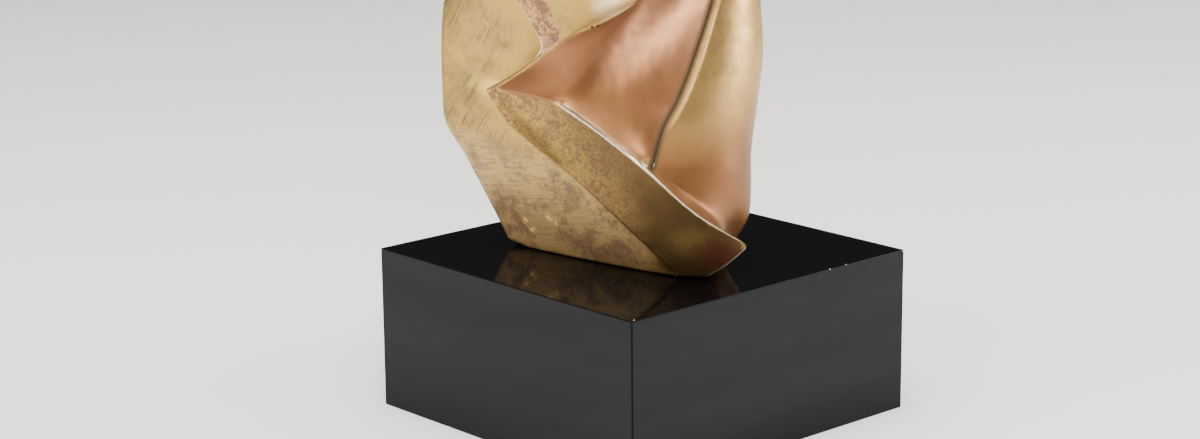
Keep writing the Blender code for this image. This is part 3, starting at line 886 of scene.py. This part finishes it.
@dataclass
class BronzeBust:
    """The cast bronze, refined from the CAD solid's own surface."""

    node: str = "bronze_bust"
    weld: float = 0.00002
    on_line: float = 0.0007
    crease: float = 0.55
    levels: int = 2
    facet_top: float = 0.388
    facet_foot: float = 0.1385
    carried_rings: int = 5
    crease_foot: Point = (0.0903, -0.0725, 0.2315)
    foot_reach: float = 0.0065
    face_low: float = 0.531
    face_high: float = 0.640
    face_half: float = 0.048
    relax_rounds: int = 90
    relax_from: float = 0.0015
    relax_full: float = 0.009
    relax_below: float = 0.42
    relax_above: float = 0.1365
    top_ease: float = 0.02
    foot_ease: float = 0.006
    held_ease: float = 0.001
    wholly: float = 0.99
    farthest: float = 20.0
    cuff_rounds: int = 320
    sleeve_rounds: int = 70
    held_near: float = 0.0012
    soft_collar: float = 0.016
    soft_heights: tuple[float, float] = (0.305, 0.325)
    soft_rounds: int = 60

    def built(self) -> bpy.types.Object:
        """Makes the bust.

        Returns:
            The finished piece, riding on the root.
        """
        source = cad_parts[self.node]
        piece = source.copy()
        piece.data = source.data.copy()
        piece.name = "bronze_casting"
        piece.parent = None
        for key in list(piece.keys()):
            del piece[key]
        bpy.context.scene.collection.objects.link(piece)
        only(piece)
        self.welded(piece)
        self.creased(piece)
        self.faceted(piece)
        self.refined(piece)
        self.eased(piece)
        self.carved(piece)
        self.marked(piece)
        bpy.ops.object.shade_smooth()
        piece.data.materials.clear()
        piece.data.materials.append(PolishedBronze().made())
        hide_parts(self.node)
        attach(piece, "root")
        return piece

    def welded(self, piece: bpy.types.Object) -> None:
        """Joins the loose triangles into quads, but not across the carving's lines.

        Args:
            piece: The copied CAD surface.
        """
        bpy.ops.object.mode_set(mode="EDIT")
        bpy.ops.mesh.select_all(action="SELECT")
        bpy.ops.mesh.remove_doubles(threshold=self.weld)
        bpy.ops.object.mode_set(mode="OBJECT")
        LOG.info("edges on lines: %d", self.pick_lines(piece))
        bpy.ops.mesh.mark_sharp()
        bpy.ops.mesh.select_all(action="SELECT")
        bpy.ops.mesh.tris_convert_to_quads(face_threshold=math.pi, shape_threshold=math.pi, sharp=True)
        bpy.ops.mesh.select_all(action="SELECT")
        bpy.ops.mesh.mark_sharp(clear=True)
        bpy.ops.object.mode_set(mode="OBJECT")

    def line_points(self, piece: bpy.types.Object) -> dict[str, set[int]]:
        """The indices of the bust's points that lie on each of the carving's lines, by the line's name."""
        points = places(piece.data)
        return {name: set(np.flatnonzero(reach(points, line.path()) < self.on_line)) for name, line in CARVED.items()}

    def pick_lines(self, piece: bpy.types.Object) -> int:
        """Selects the edges that lie on the carving's lines.

        Args:
            piece: The bust, which is left in edit mode.

        Returns:
            How many edges were selected.
        """
        near = self.line_points(piece)

        def on_one_line(edge: bmesh.types.BMEdge) -> bool:
            """Whether both its ends are on the same line."""
            first, last = edge.verts[0].index, edge.verts[1].index
            return any(first in line and last in line for line in near.values())

        return picked(piece, on_one_line)

    def creased(self, piece: bpy.types.Object) -> None:
        """Creases the crisp lines of the carving.

        Args:
            piece: The welded bust.
        """
        self.pick_lines(piece)
        bpy.ops.transform.edge_crease(value=self.crease)
        bpy.ops.object.mode_set(mode="OBJECT")

    def faceted(self, piece: bpy.types.Object) -> None:
        """Stores on each face which facet it belongs to.

        Args:
            piece: The creased bust, before it is subdivided.
        """
        near = self.line_points(piece)
        mesh = bmesh.new()
        mesh.from_mesh(piece.data)
        mesh.verts.ensure_lookup_table()
        mesh.faces.ensure_lookup_table()
        fenced = set()
        for line in near.values():
            edges = [edge for edge in mesh.edges if all(vert.index in line for vert in edge.verts)]
            fenced.update(edge.index for edge in edges)
            if edges:
                fenced.update(self.carried_up(max(edges, key=lambda edge: max(vert.co.z for vert in edge.verts))))
        numbers = np.zeros(len(mesh.faces), np.int32)
        for number, facet in enumerate(Facet, 1):
            inside = self.flooded(mesh, Vector(facet.value), fenced)
            LOG.info("facet %s: %d faces", facet.name.lower(), len(inside))
            numbers[list(inside)] = number
        mesh.free()
        made = piece.data.attributes.new("facet", "INT", "FACE")
        made.data.foreach_set("value", numbers)

    def carried_up(self, edge: bmesh.types.BMEdge) -> list[int]:
        """Carries a line on past its top end, straight over the next rings.

        Args:
            edge: The line's last edge.

        Returns:
            The indices of the edges that carry it on.
        """
        vert = max(edge.verts, key=lambda end: end.co.z)
        found = []
        for _ in range(self.carried_rings):
            start, aim = vert, (vert.co - edge.other_vert(vert).co).normalized()
            others = [other for other in start.link_edges if other is not edge]
            edge = max(others, key=lambda other: aim.dot((other.other_vert(start).co - start.co).normalized()))
            vert = edge.other_vert(start)
            found.append(edge.index)
        return found

    def flooded(self, mesh: bmesh.types.BMesh, seed: Vector, fenced: set[int]) -> set[int]:
        """Spreads over a facet until it meets crisp lines, its foot or its top.

        Args:
            mesh: The bust.
            seed: A point near the facet.
            fenced: The crisp edges' indices.

        Returns:
            The indices of its faces.
        """
        first = min(mesh.faces, key=lambda face: (face.calc_center_median() - seed).length)
        foot = Vector(self.crease_foot)
        inside, waiting = {first.index}, [first]
        while waiting:
            for edge in waiting.pop().edges:
                if edge.index in fenced:
                    continue
                for face in edge.link_faces:
                    middle = face.calc_center_median()
                    free = face.index not in inside and (middle - foot).length > self.foot_reach
                    if free and self.facet_foot < middle.z < self.facet_top:
                        inside.add(face.index)
                        waiting.append(face)
        return inside

    def refined(self, piece: bpy.types.Object) -> None:
        """Subdivides the surface, and the face once more.

        Args:
            piece: The creased bust.
        """
        smooth = piece.modifiers.new("smooth_surface", "SUBSURF")
        smooth.levels = smooth.render_levels = self.levels
        bpy.ops.object.modifier_apply(modifier=smooth.name)
        middle = HeadCarving().axis[0] / 1000

        def on_face(edge: bmesh.types.BMEdge) -> bool:
            """Whether the edge lies in the middle of the face."""
            place = (edge.verts[0].co + edge.verts[1].co) / 2
            return self.face_low < place.z < self.face_high and abs(place.x - middle) < self.face_half and place.y < 0

        picked(piece, on_face)
        bpy.ops.mesh.subdivide(number_cuts=1, smoothness=1.0)
        bpy.ops.object.mode_set(mode="OBJECT")

    def eased(self, piece: bpy.types.Object) -> None:
        """Smooths the facets between the crisp lines, which keep their place.

        Args:
            piece: The refined bust.
        """
        mesh = piece.data
        points = places(mesh)
        away = np.min([reach(points, line.path()) for line in CARVED.values() if line.held], axis=0)
        share = np.clip((away - self.relax_from) / (self.relax_full - self.relax_from), 0, 1)
        share *= np.clip((self.relax_below - points[:, 2]) / self.top_ease, 0, 1)
        share *= np.clip((points[:, 2] - self.relax_above) / self.foot_ease, 0, 1)
        edges = np.array([edge.vertices for edge in mesh.edges])
        points = relaxed(points, edges, share, self.relax_rounds)
        free = np.clip((away - self.held_near) / self.held_ease, 0, 1)
        shares = self.facet_shares(mesh)
        for facet, rounds in ((Facet.CUFF, self.cuff_rounds), (Facet.SLEEVE, self.sleeve_rounds)):
            points = relaxed(points, edges, np.where(shares[facet] > self.wholly, free, 0), rounds, (0.5,))
        mesh.vertices.foreach_set("co", points.ravel())
        mesh.update()

    def carved(self, piece: bpy.types.Object) -> None:
        """Carves the head's fine forms.

        Args:
            piece: The refined bust.
        """
        moved, shade = HeadCarving().carved(places(piece.data))
        piece.data.vertices.foreach_set("co", moved.ravel())
        piece.data.update()
        self.stored(piece, "shade", shade)

    def marked(self, piece: bpy.types.Object) -> None:
        """Stores how far each point is from the lines with wear and painted highlight and from the lines with painted
        shade, and its share of each facet.

        Args:
            piece: The refined bust.
        """
        mesh = piece.data
        points = places(mesh)
        for name in ("bright", "dark"):
            widths = {key: getattr(line, name) / 1000 for key, line in CARVED.items()}
            fields = [reach(points, CARVED[key].path()) / wide for key, wide in widths.items() if wide > 0]
            self.stored(piece, f"{name}_reach", np.minimum(np.min(fields, axis=0), self.farthest))
        edges = np.array([edge.vertices for edge in mesh.edges])
        soft = ramp(reach(points, CARVED["collar"].path()), self.soft_collar, 0.0)
        soft = soft * ramp(points[:, 2], *self.soft_heights)
        for facet, share in self.facet_shares(mesh).items():
            if facet is not Facet.BORDER:
                share = relaxed(share[:, None], edges, soft, self.soft_rounds, (0.5,))[:, 0]
            self.stored(piece, facet.name.lower(), share)

    def facet_shares(self, mesh: bpy.types.Mesh) -> dict[Facet, np.ndarray]:
        """How far each point belongs to each facet.

        Args:
            mesh: The refined bust's mesh.

        Returns:
            A share from 0 to 1 a point, by facet.
        """
        numbers = np.array([item.value for item in mesh.attributes["facet"].data])
        corners = np.array([loop.vertex_index for loop in mesh.loops])
        owners = np.repeat(np.arange(len(mesh.polygons)), [face.loop_total for face in mesh.polygons])
        count = np.maximum(np.bincount(corners, minlength=len(mesh.vertices)), 1)
        return {
            facet: np.bincount(corners, (numbers[owners] == number).astype(float), len(mesh.vertices)) / count
            for number, facet in enumerate(Facet, 1)
        }

    def stored(self, piece: bpy.types.Object, name: str, values: np.ndarray) -> None:
        """Stores a number for each point of the mesh, under a name that the material reads."""
        made = piece.data.attributes.new(name, "FLOAT", "POINT")
        made.data.foreach_set("value", values.astype(np.float32))


@dataclass
class Plinth:
    """The square black plinth."""

    node: str = "plinth"

    def built(self) -> bpy.types.Object:
        """Dresses the CAD plinth.

        Returns:
            The CAD node with its lacquer.
        """
        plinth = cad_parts[self.node]
        lacquer = BlackLacquer().made()
        for place in plinth.material_slots:
            place.material = lacquer
        return plinth


@dataclass
class Studio:
    """The pale floor, the soft lights and the camera at the photograph's angle."""

    lens: float = 78.96
    eye: Point = (1.5343, -1.4327, 0.6853)
    turn: float = math.radians(47.88)
    pitch: float = 0.2449
    roll: float = -0.0097
    floor_side: float = 12.0
    dark_below: float = 0.34
    bright_above: float = 0.62
    dark_glow: float = 0.06
    bright_glow: float = 0.55
    glow_tint: Colour = (1.0, 0.985, 0.96)
    aim: Point = (0.0, 0.0, 0.35)

    def floor(self) -> bpy.types.Object:
        """Lays the floor.

        Returns:
            The floor.
        """
        bpy.ops.object.select_all(action="DESELECT")
        bpy.ops.mesh.primitive_plane_add(size=self.floor_side, location=(0, 0, 0))
        floor = bpy.context.object
        floor.name = "studio_floor"
        floor.data.materials.append(PaleFloor().made())
        return floor

    def camera(self) -> bpy.types.Object:
        """Sets up the camera.

        Returns:
            The camera.
        """
        data = bpy.data.cameras.new("photograph_view")
        data.sensor_width = 36.0
        data.lens = self.lens
        data.clip_start = 0.05
        camera = bpy.data.objects.new("photograph_view", data)
        upright = Matrix.Rotation(self.turn, 4, "Z") @ Matrix.Rotation(math.pi / 2 - self.pitch, 4, "X")
        camera.matrix_world = Matrix.Translation(self.eye) @ upright @ Matrix.Rotation(self.roll, 4, "Z")
        bpy.context.scene.collection.objects.link(camera)
        bpy.context.scene.camera = camera
        return camera

    def softbox(self, name: str, place: Point, size: tuple[float, float], power: float, tint: Colour) -> None:
        """Hangs a soft light that looks at the bust.

        Args:
            name: The light's name.
            place: Where it hangs.
            size: Its width and height.
            power: Its power in watts.
            tint: Its colour.
        """
        data = bpy.data.lights.new(name, "AREA")
        data.shape = "RECTANGLE"
        data.size, data.size_y = size
        data.energy = power
        data.color = tint
        light = bpy.data.objects.new(name, data)
        light.location = place
        aim = Vector(self.aim) - Vector(place)
        light.rotation_euler = aim.to_track_quat("-Z", "Y").to_euler()
        bpy.context.scene.collection.objects.link(light)

    def lights(self) -> None:
        """Sets the room's glow and its soft lights."""
        world = bpy.data.worlds.new("studio_room")
        world.use_nodes = True
        tree = world.node_tree
        looking = tree.nodes.new("ShaderNodeTexCoord")
        split = tree.nodes.new("ShaderNodeSeparateXYZ")
        climb = tree.nodes.new("ShaderNodeMapRange")
        climb.interpolation_type = "SMOOTHSTEP"
        ends = {"From Min": self.dark_below, "From Max": self.bright_above}
        for name, value in {**ends, "To Min": self.dark_glow, "To Max": self.bright_glow}.items():
            climb.inputs[name].default_value = value
        glow = tree.nodes["Background"]
        glow.inputs[0].default_value = (*self.glow_tint, 1)
        tree.links.new(looking.outputs["Generated"], split.inputs[0])
        tree.links.new(split.outputs[2], climb.inputs["Value"])
        tree.links.new(climb.outputs[0], glow.inputs[1])
        bpy.context.scene.world = world
        self.softbox("overhead", (0.3, -0.4, 3.2), (2.8, 2.8), 190, (1.0, 0.985, 0.965))
        self.softbox("left_front", (-0.9, -2.4, 1.2), (1.2, 1.6), 50, (1.0, 0.97, 0.92))
        self.softbox("right_back", (1.80, 2.60, 0.95), (1.0, 1.5), 118, (1.0, 0.98, 0.95))
        self.softbox("over_camera", (1.62, -1.30, 1.14), (0.45, 0.35), 22, (1.0, 0.98, 0.95))


def main() -> None:
    """Builds the studio, the plinth and the bust in order, and logs their names."""
    logging.basicConfig(level=logging.INFO, format="%(message)s")
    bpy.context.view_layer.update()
    studio = Studio()
    LOG.info("camera: %s", studio.camera().name)
    LOG.info("floor: %s", studio.floor().name)
    studio.lights()
    LOG.info("plinth: %s", Plinth().built().name)
    LOG.info("bust: %s", BronzeBust().built().name)


if __name__ == "__main__":
    main()
